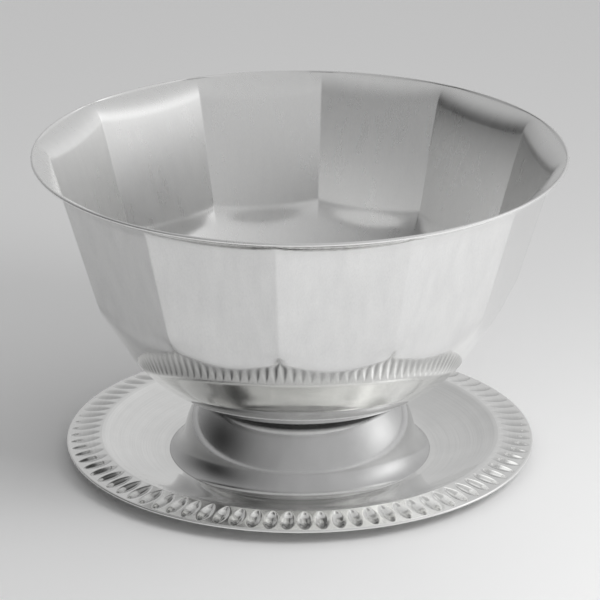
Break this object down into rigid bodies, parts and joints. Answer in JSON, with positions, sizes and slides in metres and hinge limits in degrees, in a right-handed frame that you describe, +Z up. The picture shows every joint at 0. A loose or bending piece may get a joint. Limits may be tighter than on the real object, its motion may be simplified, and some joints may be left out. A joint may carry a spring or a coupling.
{
  "type": "punch bowl",
  "caption": "Footed punch bowl in stainless sheet: flat-panelled sides under a flared rolled rim, a flared pedestal, and a wide dished base pan with a gadroon border.",
  "frame": {"origin": "centre of the flat ring that the base pan stands on, on the table surface", "axes": "+Z up along the bowl's axis; the corners between panels lie on the X and Y axes and every 30 degrees between them"},
  "size_m": [0.38, 0.38, 0.228],
  "materials": {
    "bowl_steel": "vertical satin grain on the panels and inside, buffed bright below the panels",
    "polished_steel": "bright polish",
    "pan_steel": "bright polish with a faint turned grain",
    "hardware_steel": "plain bright stainless hardware"
  },
  "bodies": {
    "root": {"bowl": "bowl_steel", "stud_plate": "bowl_steel", "bowl_stud": "hardware_steel", "pedestal": "polished_steel", "base_pan": "pan_steel", "fender_washer": "hardware_steel", "lock_washer": "hardware_steel", "hex_nut": "hardware_steel"}
  },
  "joints": []
}
